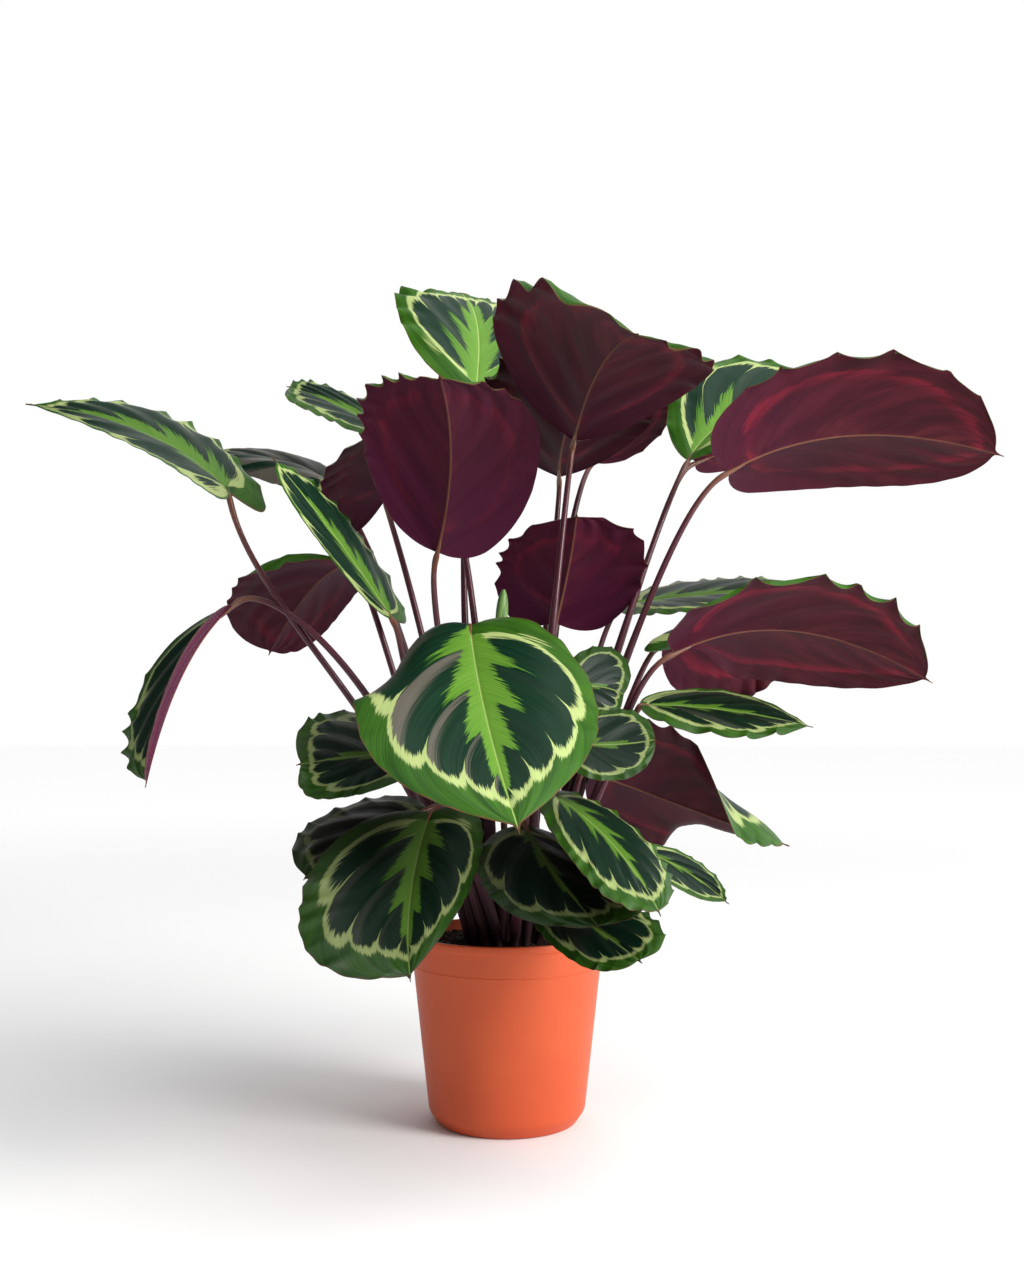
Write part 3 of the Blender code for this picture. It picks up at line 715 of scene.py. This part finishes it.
def upperPaint(look):
    paint = Paint("leaf upper side")
    place, share, rim, lane, inCell, border, far, silverAndSheen = leafFields(paint)
    paintedLightAndShade, featherWide, _ = paint.attribute("leafPaintedLightAndFeather")
    run = lane + 0.6 * place.step(0, 0.35)    # goes on along the margin by the base, where lane stalls
    fine = paint.noise(lane * 38, share * 1.5, 0, 3, 0.7)
    broad = paint.noise(lane * 2.6, share * 2.5, 4, 2, 0.5)
    jagOut = 0.12 * (paint.noise(run * 19, share * 1.2, 9, 3, 0.8) - 0.5)
    jagIn = 0.2 * (paint.noise(run * 17, share * 1.2, 17, 3, 0.8) - 0.5)

    # pale ring: bulges outwards in each cell, thickest at the cell's far end, and runs inwards
    # as a thin line between cells
    depth = rim - (look["ringAt"] - 0.11 * place.step(0.75, 1))
    calm = 1 - place.step(0.7, 0.95)
    depth = depth + (1 - border ** 2.5) * look["ringBulge"] * calm
    outer = (depth + jagOut).step(-0.01, 0.01)
    wide = look["ringThin"] + (look["ringThick"] - look["ringThin"]) * (inCell ** 2 + broad * 0.5)
    wide = wide + look["ringBase"] * (1 - place.step(0.1, 0.4))
    spike = border ** 22 * look["spikeLong"] * calm
    inner = (depth + jagIn - spike - wide).step(-0.012, 0.012)

    # bright feather along the midrib: each lobe lengthens to its far side, where it ends in a fringe
    reach = (1 - place ** 2 * 1.3) * featherWide * (0.28 + 0.72 * inCell ** 1.8)
    reach = reach * (1 - 0.45 * inCell ** 24) * (0.5 + 0.5 * place.step(0, 0.12))
    jagFeather = (paint.noise(lane * 24, share * 0.8, 23, 2, 0.6) - 0.5) * 2
    feather = 1 - (share - reach * (1 + jagFeather)).step(-0.014, 0.014)

    # silver-grey stripe on the near side of some cells, partly the leaf's own silver and partly painted
    # sheen
    cellDraw = paint.node("ShaderNodeTexWhiteNoise", {"noise_dimensions": "1D"}, {"W": lane.floor()})
    wideStripe = (0.2 + 0.26 * cellDraw) * (0.45 + 1.1 * share) + 0.6 * silverAndSheen.step(1.2, 2)
    stripe = (wideStripe - inCell + (fine - 0.5) * 0.6).step(0, 0.24) * place.step(0.08, 0.2)
    stripe = stripe * inCell.step(0, 0.06) * (cellDraw + silverAndSheen - 0.25).step(0.2, 0.9)
    stripe = stripe * silverAndSheen * (0.35 + 0.5 * broad + 0.7 * fine)

    margin = paint.mix((fine - 0.5) * 1.6 + broad * 1.5 - 0.25, *look["margin"])
    centre = paint.mix((fine - 0.5) * 2.2 + 0.3 + share * 0.25, *look["centre"])
    # Silver-grey over the dark centre: the leaf's own silver with a painted sheen.
    centre = paint.mix(stripe, centre, look["silverAndSheen"])
    ring = paint.mix(fine, *look["ring"])
    green = paint.mix((fine - 0.5) * 2.4 + 0.85 - share * 1.2, *look["feather"])
    colour = paint.mix(outer, margin, ring)
    colour = paint.mix(inner, colour, centre)
    colour = paint.mix(feather * outer, colour, green)
    midrib = paint.mix(place.step(0, 0.08), look["midribBase"], look["midrib"])
    colour = paint.mix(1 - far.step(0.45, 1 - 0.4 * place), colour, midrib)
    colour = paint.mix(1 - rim.step(0.004, 0.014), colour, look["edge"])
    colour = paint.mix(place.step(0.955, 0.985), colour, look["edge"])
    height = fine * 0.5 + border ** 14 * 0.5
    # The leaf's painted light and shade: its brightness multiplies the whole colour.
    return paint.finish(
        Base_Color=paint.mix(1, colour, paint.grey(paintedLightAndShade), blend_type="MULTIPLY"),
        Roughness=look["roughness"] + 0.16 * fine,
        Normal=paint.bump(height, 0.35, 0.0006),
        Specular_IOR_Level=look["shine"],
    )


# Colours of the underside, linear.
underLook = {
    "dark": (0.034, 0.0045, 0.0085),
    "wine": (0.078, 0.0085, 0.0175),
    "purple": (0.058, 0.0062, 0.025),
    "ring": (0.2, 0.011, 0.028),
    "brown": (0.085, 0.02, 0.014),
    "midrib": (0.19, 0.08, 0.044),
    "ringAt": 0.27,
    "roughness": 0.5,
    "shine": 0.1,
}


def underPaint(look):
    paint = Paint("leaf underside")
    place, share, rim, lane, _, border, far, _ = leafFields(paint)
    paintedLightAndShade, rose, purple = paint.attribute("leafUnder")
    fine = paint.noise(lane * 30, share * 1.5, 31, 3, 0.7)
    broad = paint.noise(lane * 2, share * 2.5, 37, 3, 0.6)
    jag = (paint.noise(lane * 13, share * 1.2, 41, 3, 0.75) - 0.5) * 0.16
    depth = rim - look["ringAt"] + 0.15 * place.step(0.75, 1) + 0.03 * border + jag
    ring = depth.step(-0.02, 0.02) * (1 - depth.step(0, 0.15))
    ring = ring * paint.noise(lane * 0.7, share * 2, 47, 3, 0.6).step(0.41, 0.56)
    colour = paint.mix(broad.step(0.3, 0.7), look["dark"], look["wine"])
    colour = paint.mix((1 - place.step(0, 0.6)) * 0.6 + purple, colour, look["purple"])
    colour = paint.mix(ring * rose * (0.35 + 0.65 * fine), colour, look["ring"])
    brown = (1 - share.step(0.03, 0.3)) * (broad + fine * 0.3).step(0.6, 0.9) * 0.35
    colour = paint.mix(brown, colour, look["brown"])
    colour = paint.mix(border ** 16 * 0.45, colour, look["dark"])
    colour = paint.mix((1 - far.step(0.5, 1.1)) * (1 - 0.75 * place), colour, look["midrib"])
    colour = paint.mix(place.step(0.955, 0.985), colour, look["brown"])
    height = fine * 0.4 - border ** 12 * 0.6
    # The leaf's painted light and shade: its brightness multiplies the whole colour.
    return paint.finish(
        Base_Color=paint.mix(1, colour, paint.grey(paintedLightAndShade), blend_type="MULTIPLY"),
        Roughness=look["roughness"] + 0.12 * broad,
        Normal=paint.bump(height, 0.3, 0.0006),
        Specular_IOR_Level=look["shine"],
    )


# Stalks: millimetres, and colours from the soil to the blade.
stalkLook = {
    "soilTop": 153,
    "depth": 24,
    "collar": 4,
    "footRadius": 3.5,
    "endRadius": 2.2,
    "drop": 1.1,
    "endStraight": 5,
    "steps": 44,
    "sides": 14,
    "intoBlade": 16,
    "lastRadii": (2.1, 1.8, 1.3, 0.6),      # under the blade's midrib
    "joint": (0.45, 0.9, 0.05),             # the soft joint: how thick, where, over what stretch
    "sheath": (1.5, 0.12, 0.42, 0.25),      # how thick, and where it swells, ends and thins out
    # the foot colour is the sheaths' own dark purple, darkened further as painted shade low in the plant
    "foot": (0.016, 0.003, 0.006),
    "middle": (0.07, 0.013, 0.024),
    "end": (0.175, 0.066, 0.036),
    "roughness": 0.36,
}


def stalkPaint(look):
    paint = Paint("leaf stalk")
    along, around, seed = paint.attribute("stalkPlace")
    line = paint.noise(around * 9, along * 2, seed, 2, 0.6)
    cloud = paint.noise(around * 1.5, along * 9, seed + 5, 3, 0.6)
    # darker towards the soil: the sheaths' own colour with painted shade low in the plant
    colour = paint.mix(along.step(0.05, 0.45), look["foot"], look["middle"])
    colour = paint.mix((along + (cloud - 0.5) * 0.3).step(0.62, 1), colour, look["end"])
    colour = paint.mix(line.step(0.55, 0.8) * 0.35, colour, look["end"])
    dull = 1 - along.step(0.08, 0.45)       # the sheaths low down
    return paint.finish(
        Base_Color=colour,
        Roughness=look["roughness"] + 0.15 * cloud + 0.35 * dull,
        Normal=paint.bump(line * 0.6 + cloud * 0.4, 0.25, 0.0005),
        Coat_Weight=0.3 - 0.29 * dull,
        Coat_Roughness=0.2,
        Specular_IOR_Level=0.25,
    )


def sweep(points, radii, sides):
    # Ring points of a tube, carried along without twist.
    points = np.array(points, float)
    tangents = unit(np.gradient(points, axis=0))
    normal = unit(np.cross(tangents[0], [0.31, 0.95, 0.05]))
    rings = []
    angles = math.tau * np.arange(sides) / sides
    for point, tangent, radius in zip(points, tangents, radii):
        normal = unit(normal - (normal @ tangent) * tangent)
        other = np.cross(tangent, normal)
        rings.append(point + radius * (np.cos(angles)[:, None] * normal + np.sin(angles)[:, None] * other))
    return np.array(rings)


def band(low, sides):
    # Faces between two rings of points, one after the other; low is the first ring's first point.
    high = low + sides
    return [(low + k, low + (k + 1) % sides, high + (k + 1) % sides, high + k) for k in range(sides)]


def tubeFaces(rings, sides):
    faces = [tuple(range(sides))[::-1]]
    for ring in range(rings - 1):
        faces += band(ring * sides, sides)
    return faces + [range((rings - 1) * sides, rings * sides)]


# Stalks that meet their blade at an angle: where the bend's handle lies from the blade's base.
arrivals = {
    "far_left": (16, 0, -98), "left_back": (25, -10, -45), "front_main": (0, 32, -8),
    "front_left_lower": (8, 25, -12), "right_slim": (-12, 2, -14), "front_left_upper": (12, 14, -12),
}


def stalkPath(name, rib, look):
    foot, bend, straight = leaves[name][5:]
    centre, along, _, up = (v[0] for v in rib.frame(np.array([0])))
    end = centre - look["drop"] * up
    if name in arrivals:
        before = end + arrivals[name]
    else:
        end = end - look["endStraight"] * along
        before = end - straight * along
    collar = np.array([*foot, look["soilTop"] + look["collar"]], float)
    path = [np.array([*foot, look["soilTop"] - look["depth"]], float)]
    path.append((path[0] + collar) / 2)
    for u in np.linspace(0, 1, look["steps"]):
        path.append(
            (1 - u) ** 3 * collar + 3 * u * (1 - u) ** 2 * np.array(bend, float)
            + 3 * u ** 2 * (1 - u) * before + u ** 3 * end
        )
    for into in (0, 0.35, 0.7, 1):    # on under the blade's midrib
        place = np.array([into * look["intoBlade"] / rib.length])
        spot, _, _, upThere = (v[0] for v in rib.frame(place))
        path.append(spot - (look["drop"] + 0.3 * into) * upThere)
    return relax(np.array(path))


def addStalk(name, rib, paint, seed, look, replaced):
    path = stalkPath(name, rib, look)
    count = len(path)
    share = np.linspace(0, 1, count)
    radii = look["footRadius"] + (look["endRadius"] - look["footRadius"]) * share
    thick, middle, stretch = look["joint"]
    radii = radii + thick * np.exp(-((share - middle) / stretch) ** 2)
    thick, swell, stop, stretch = look["sheath"]
    radii = radii + thick * np.clip(share / swell, 0.3, 1) * np.clip((stop - share) / stretch, 0, 1)
    radii[-len(look["lastRadii"]):] = look["lastRadii"]
    rings = sweep(path, radii, look["sides"])
    around = np.tile(np.arange(look["sides"]) / look["sides"], (count, 1))
    around = np.abs(around * 2 - 1)
    along = np.repeat(share[:, None], look["sides"], 1)
    fields = {"stalkPlace": np.stack([along, around, np.full(along.shape, seed)], -1)}
    addPiece(
        "stalk." + name, rings.reshape(-1, 3) * mm, tubeFaces(count, look["sides"]), [paint],
        replaced, fields=fields,
    )


def addLeaves():
    upper = upperPaint(upperLook)
    under = underPaint(underLook)
    stalk = stalkPaint(stalkLook)
    for seed, name in enumerate(leaves):
        rib, top, bottom, fields = bladePoints(name, seed)
        points = np.concatenate([top.reshape(-1, 3), bottom.reshape(-1, 3)]) * mm
        both = {key: np.concatenate([v.reshape(-1, 3)] * 2) for key, v in fields.items()}
        node = "leaf_" + name if name in joined else "blade_" + name
        addPiece(
            "blade." + name, points, bladeFaces, [upper, under], [node],
            choice=bladeChoice, fields=both,
        )
        addStalk(name, rib, stalk, seed, stalkLook, [node] if name in joined else ["stalk_" + name])
    print("leaves:", len(leaves))


# The new leaf, still rolled: height, shift and radius in millimetres.
newLeafLook = {
    "path": [
        (129, 0, 3.4), (157, 0, 3.4), (230, -2, 3), (310, -4, 2.8), (385, -5, 2.8),
        (398, -5, 3.6), (412, -5, 5), (430, -5, 6.2), (446, -4, 6), (454, -3.5, 5), (459, -3, 3.6),
        (462, -3, 1.6),
    ],
    "rolledFrom": 392,
    "steps": 80,
    "sides": 28,
    "lap": 1.1 / 6,         # share of the radius that the roll lies further in by its inner edge
    "opening": 15,          # height over which the stalk turns into the roll
    "seam": (-0.6, 0.035),  # the free edge's turn where the roll starts, and its turn a millimetre
    "light": (0.26, 0.42, 0.12),
    "green": (0.06, 0.21, 0.045),
    "stalk": (0.13, 0.07, 0.04),
}


def addNewLeaf(look):
    heights = [p[0] for p in look["path"]]
    levels = np.linspace(heights[0], heights[-1], look["steps"])
    shift = np.interp(levels, heights, [p[1] for p in look["path"]])
    radii = np.interp(levels, heights, [p[2] for p in look["path"]])
    relax(radii)
    rings, places = [], []
    for level, x, radius in zip(levels, shift, radii):
        above = level - look["rolledFrom"]
        rolled = float(np.clip(above / look["opening"], 0, 1))
        seam = look["seam"][0] + look["seam"][1] * above
        for k in range(look["sides"]):
            turn = math.tau * k / look["sides"]
            lap = (turn - seam) % math.tau / math.tau
            far = max(radius * (1 - rolled * look["lap"] * lap), 0.3)
            rings.append((x + far * math.cos(turn), far * math.sin(turn), level))
            places.append((rolled, lap, (level - heights[0]) / (heights[-1] - heights[0])))
    paint = Paint("rolled leaf")
    rolled, lap, along = paint.attribute("rollPlace")
    streak = paint.noise(lap * 14, along * 6, 3, 3, 0.7)
    leaf = paint.mix((streak + (lap - 0.5) * 0.5).step(0.4, 0.62), look["green"], look["light"])
    colour = paint.mix(rolled, look["stalk"], leaf)
    paint.finish(
        Base_Color=colour, Roughness=0.38 + 0.1 * streak, Normal=paint.bump(streak, 0.3, 0.0005)
    )
    addPiece(
        "new.leaf", np.array(rings) * mm, tubeFaces(look["steps"], look["sides"]),
        [paint.material], ["leaf_new_rolled"], fields={"rollPlace": places},
    )
    print("new leaf rolled")


# The pot, in millimetres: radius and height up its inside and down its outside.
potLook = {
    "outer": [
        (82.9, 161.6), (83.9, 161.6), (84.7, 161.3), (85.1, 160.6), (85.2, 159.8), (85.25, 156.2),
        (85.1, 155.5), (84.5, 155.1), (84, 154.8), (83.85, 154.2), (83.7, 152.4), (82.3, 136.2),
        (82.2, 135.3), (82.45, 135), (82.45, 134.5), (82, 134.2), (81.85, 133.4), (81.2, 128),
        (75, 73), (68.3, 14.5), (68.1, 12.7), (67.9, 11.9), (66.8, 9), (66.4, 8.4), (61.2, 1.2),
        (60.6, 0.5), (59.8, 0.1), (58.5, 0),
    ],
    "inner": [(0, 2.4), (58, 2.4), (63.5, 6), (66.4, 12), (82.1, 150), (82.4, 161.2)],
    "steps": 144,
    "holes": 6,
    "holeRadius": 5,
    "holeRing": 42,
    "cutMm": 10,
    "light": (0.6, 0.099, 0.031),
    "dark": (0.56, 0.084, 0.026),
    "dust": (0.6, 0.2, 0.11),
    "roughness": 0.42,
}


def circle(far, count):
    turns = [math.tau * k / count for k in range(count)]
    return [(far * math.cos(turn), far * math.sin(turn)) for turn in turns]


def lathe(profile, steps):
    # A closed turned shape; the profile starts and ends on the axis.
    shape = bmesh.new()
    line = [shape.verts.new((r * mm, 0, z * mm)) for r, z in profile]
    edges = [shape.edges.new((line[k], line[k + 1])) for k in range(len(line) - 1)]
    bmesh.ops.spin(
        shape, geom=line + edges, cent=(0, 0, 0), axis=(0, 0, 1), angle=math.tau, steps=steps,
        use_merge=True,
    )
    bmesh.ops.remove_doubles(shape, verts=shape.verts, dist=1e-6)
    bmesh.ops.recalc_face_normals(shape, faces=shape.faces)
    return shape


def addPot(look):
    pot = addMesh("pot.body", lathe(look["inner"] + look["outer"] + [(0, 0)], look["steps"]))
    shape = bmesh.new()
    hole = look["holeRadius"] * mm
    for x, y in circle(look["holeRing"], look["holes"]):
        made = bmesh.ops.create_cone(
            shape, cap_ends=True, segments=32, radius1=hole, radius2=hole, depth=look["cutMm"] * mm
        )
        bmesh.ops.translate(shape, verts=made["verts"], vec=(x * mm, y * mm, 0))
    cutter = addMesh("pot.cutter", shape)
    cut = pot.modifiers.new("drain holes", "BOOLEAN")
    cut.object = cutter
    cut.solver = "EXACT"
    graph = bpy.context.evaluated_depsgraph_get()
    holed = bpy.data.meshes.new_from_object(pot.evaluated_get(graph))
    pot.modifiers.clear()
    pot.data = holed
    bpy.data.objects.remove(cutter)
    soften(holed, 30)

    paint = Paint("pot plastic")
    x, y, z = paint.parts(paint.place())
    cloud = paint.grain(9, 4, 0.6)
    speck = paint.grain(420, 2, 0.6)
    scuff = paint.noise(x * 60, y * 60, z * 900, 3, 0.7)    # faint level marks from the mould
    colour = paint.mix(cloud.step(0.3, 0.7), look["light"], look["dark"])
    dusty = scuff.step(0.62, 0.8) * cloud.step(0.45, 0.7) * 0.15
    colour = paint.mix(dusty, colour, look["dust"])
    paint.finish(
        Base_Color=colour,
        Roughness=look["roughness"] + 0.1 * cloud + 0.15 * dusty,
        Normal=paint.bump(speck * 0.5 + scuff * 0.5, 0.12, 0.0004),
        Specular_IOR_Level=0.28,
    )
    holed.materials.clear()
    holed.materials.append(paint.material)
    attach(pot, "root")
    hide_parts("pot")
    print("pot turned")


# The soil: a plug with a lumpy top, and crumbs and bark chips on it, in millimetres.
soilLook = {
    "top": 153,
    "edgeTop": 150.5,
    "flat": (60, 21),    # radius from which the top sinks to its edge, and over what stretch
    "wall": [(66, 12), (61.6, 2.8)],
    "potInside": 82,
    "gap": 0.4,
    "rings": 60,
    "steps": 160,
    "lumpMm": 1.6,
    "crumbs": 1500,
    "chips": 130,
    "crumbsWithin": 80,
    "crumbSize": (0.5, 1.7),
    "crumbStretch": ((0.7, 1.3), (0.7, 1.3), (0.6, 1)),
    "crumbRough": 0.25,
    "chipSize": (1, 1.6),
    "chipLong": (2, 4.5),
    "chipThin": (0.8, 0.5),
    "dark": (0.012, 0.006, 0.004),
    "brown": (0.06, 0.03, 0.015),
    "fibre": (0.13, 0.075, 0.04),
}


def soilHeight(x, y, look):
    flat, slope = look["flat"]
    sunk = (look["top"] - look["edgeTop"]) * max(0, (math.hypot(x, y) - flat) / slope) ** 2
    at = Vector((x, y, 0))
    lump = noise.noise(at * 0.09) + 0.6 * noise.noise(at * 0.3) + 0.35 * noise.noise(at * 0.8)
    return look["top"] - sunk + look["lumpMm"] * lump


def addSoil(look):
    steps = look["steps"]
    points = [(0, 0, soilHeight(0, 0, look))]
    for ring in range(1, look["rings"] + 1):
        far = (look["potInside"] - look["gap"]) * ring / look["rings"]
        points += [(x, y, soilHeight(x, y, look)) for x, y in circle(far, steps)]
    for far, height in look["wall"]:
        points += [(x, y, height) for x, y in circle(far, steps)]
    points.append((0, 0, look["wall"][-1][1]))
    faces = [(0, 1 + k, 1 + (k + 1) % steps) for k in range(steps)]
    rows = look["rings"] + len(look["wall"])
    for row in range(rows - 1):
        faces += [(a, d, c, b) for a, b, c, d in band(1 + row * steps, steps)]
    last = 1 + (rows - 1) * steps
    faces += [(len(points) - 1, last + (k + 1) % steps, last + k) for k in range(steps)]
    paint = soilPaint(look)
    addPiece("soil.plug", np.array(points) * mm, faces, [paint], ["soil"])
    addCrumbs(look, paint)
    print("soil filled")


def soilPaint(look):
    paint = Paint("peat soil")
    lump = paint.grain(260, 5, 0.7)
    fleck = paint.grain(900, 3, 0.7)
    colour = paint.mix(lump.step(0.35, 0.68), look["dark"], look["brown"])
    colour = paint.mix(fleck.step(0.62, 0.75) * 0.7, colour, look["fibre"])
    return paint.finish(
        Base_Color=colour, Roughness=0.88 + 0.1 * lump, Normal=paint.bump(lump + fleck, 0.9, 0.002),
        Specular_IOR_Level=0.15,
    )


def addCrumbs(look, paint):
    draw = np.random.default_rng(11)
    points, faces = [], []
    seed = bmesh.new()
    bmesh.ops.create_icosphere(seed, subdivisions=1, radius=1)
    ball = np.array([v.co for v in seed.verts])
    ballFaces = [tuple(v.index for v in f.verts) for f in seed.faces]
    seed.free()
    for k in range(look["crumbs"] + look["chips"]):
        far = look["crumbsWithin"] * math.sqrt(draw.random())
        turn = draw.random() * math.tau
        x, y = far * math.cos(turn), far * math.sin(turn)
        chip = k >= look["crumbs"]
        size = draw.uniform(*look["chipSize" if chip else "crumbSize"])
        stretch = [draw.uniform(*limits) for limits in look["crumbStretch"]]
        if chip:
            stretch = [draw.uniform(*look["chipLong"]), *look["chipThin"]]
        spin = draw.random() * math.tau
        rough = look["crumbRough"]
        lumpy = ball * (1 + draw.uniform(-rough, rough, (len(ball), 1))) * stretch * size
        cos, sin = math.cos(spin), math.sin(spin)
        turned = lumpy @ np.array([[cos, sin, 0], [-sin, cos, 0], [0, 0, 1]])
        start = len(points)
        points += list(turned + (x, y, soilHeight(x, y, look) + 0.3 * size))
        faces += [tuple(start + i for i in f) for f in ballFaces]
    addPiece("soil.crumbs", np.array(points) * mm, faces, [paint], [])


addCamera(cameraLook)
addLights(lightLook)
addFloor(lightLook)
addPot(potLook)
addSoil(soilLook)
addNewLeaf(newLeafLook)
addLeaves()
